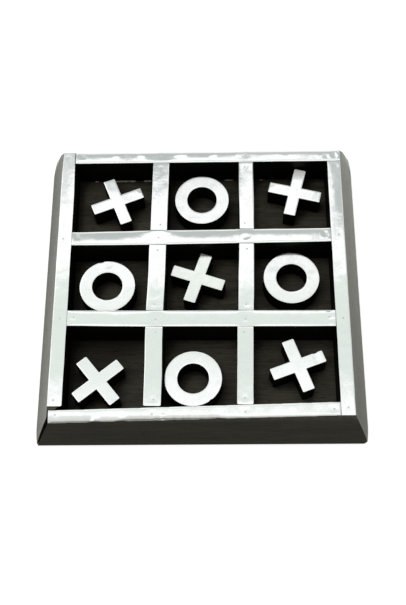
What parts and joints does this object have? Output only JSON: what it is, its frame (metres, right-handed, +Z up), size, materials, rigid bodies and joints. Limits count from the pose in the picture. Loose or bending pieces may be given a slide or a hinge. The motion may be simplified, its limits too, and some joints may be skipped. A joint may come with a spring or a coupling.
{
  "type": "tic-tac-toe board",
  "caption": "Square board with sunken wells under metal-faced bars, and loose metal-faced crosses and rings that lift out of the wells.",
  "frame": {"origin": "centre of the underside", "axes": "+X to the board's right and +Y to its rear, as it lies in front of a player; +Z up out of the wells"},
  "size_m": [0.25, 0.25, 0.0329],
  "materials": {
    "black_wood": "black stain, satin and worn",
    "floor_wood": "dark stain, satin",
    "facing_sheet": "rolled sheet, satin, dulled in patches",
    "pin_steel": "dull",
    "piece_wood": "black stain, satin",
    "piece_sheet": "rolled sheet, satin"
  },
  "bodies": {
    "board": {"floor_panel": "floor_wood", "rail_front": "black_wood", "rail_rear": "black_wood", "rail_left": "black_wood", "rail_right": "black_wood", "row_bar_rear": "black_wood", "row_bar_front": "black_wood", "column_bar_left": "black_wood", "column_bar_right": "black_wood", "strip_front": "facing_sheet", "strip_rear": "facing_sheet", "strip_left": "facing_sheet", "strip_right": "facing_sheet", "row_strip_rear": "facing_sheet", "row_strip_front": "facing_sheet", "column_strip_left_rear": "facing_sheet", "column_strip_left_middle": "facing_sheet", "column_strip_left_front": "facing_sheet", "column_strip_right_rear": "facing_sheet", "column_strip_right_middle": "facing_sheet", "column_strip_right_front": "facing_sheet", "rim_pins": "pin_steel", "row_pins": "pin_steel", "column_pins": "pin_steel"},
    "cross_rear_left": {"cross_rear_left": "piece_wood", "cross_face_rear_left": "piece_sheet"},
    "cross_rear_right": {"cross_rear_right": "piece_wood", "cross_face_rear_right": "piece_sheet"},
    "cross_centre": {"cross_centre": "piece_wood", "cross_face_centre": "piece_sheet"},
    "cross_front_left": {"cross_front_left": "piece_wood", "cross_face_front_left": "piece_sheet"},
    "cross_front_right": {"cross_front_right": "piece_wood", "cross_face_front_right": "piece_sheet"},
    "ring_rear": {"ring_rear": "piece_wood", "ring_face_rear": "piece_sheet"},
    "ring_left": {"ring_left": "piece_wood", "ring_face_left": "piece_sheet"},
    "ring_right": {"ring_right": "piece_wood", "ring_face_right": "piece_sheet"},
    "ring_front": {"ring_front": "piece_wood", "ring_face_front": "piece_sheet"}
  },
  "joints": [
    {"name": "lift_cross_rear_left", "type": "slide", "parent": "board", "child": "cross_rear_left", "axis": [0, 0, 1], "range_m": [0, 0.04]},
    {"name": "lift_cross_rear_right", "type": "slide", "parent": "board", "child": "cross_rear_right", "axis": [0, 0, 1], "range_m": [0, 0.04]},
    {"name": "lift_cross_centre", "type": "slide", "parent": "board", "child": "cross_centre", "axis": [0, 0, 1], "range_m": [0, 0.04]},
    {"name": "lift_cross_front_left", "type": "slide", "parent": "board", "child": "cross_front_left", "axis": [0, 0, 1], "range_m": [0, 0.04]},
    {"name": "lift_cross_front_right", "type": "slide", "parent": "board", "child": "cross_front_right", "axis": [0, 0, 1], "range_m": [0, 0.04]},
    {"name": "lift_ring_rear", "type": "slide", "parent": "board", "child": "ring_rear", "axis": [0, 0, 1], "range_m": [0, 0.04]},
    {"name": "lift_ring_left", "type": "slide", "parent": "board", "child": "ring_left", "axis": [0, 0, 1], "range_m": [0, 0.04]},
    {"name": "lift_ring_right", "type": "slide", "parent": "board", "child": "ring_right", "axis": [0, 0, 1], "range_m": [0, 0.04]},
    {"name": "lift_ring_front", "type": "slide", "parent": "board", "child": "ring_front", "axis": [0, 0, 1], "range_m": [0, 0.04]}
  ]
}
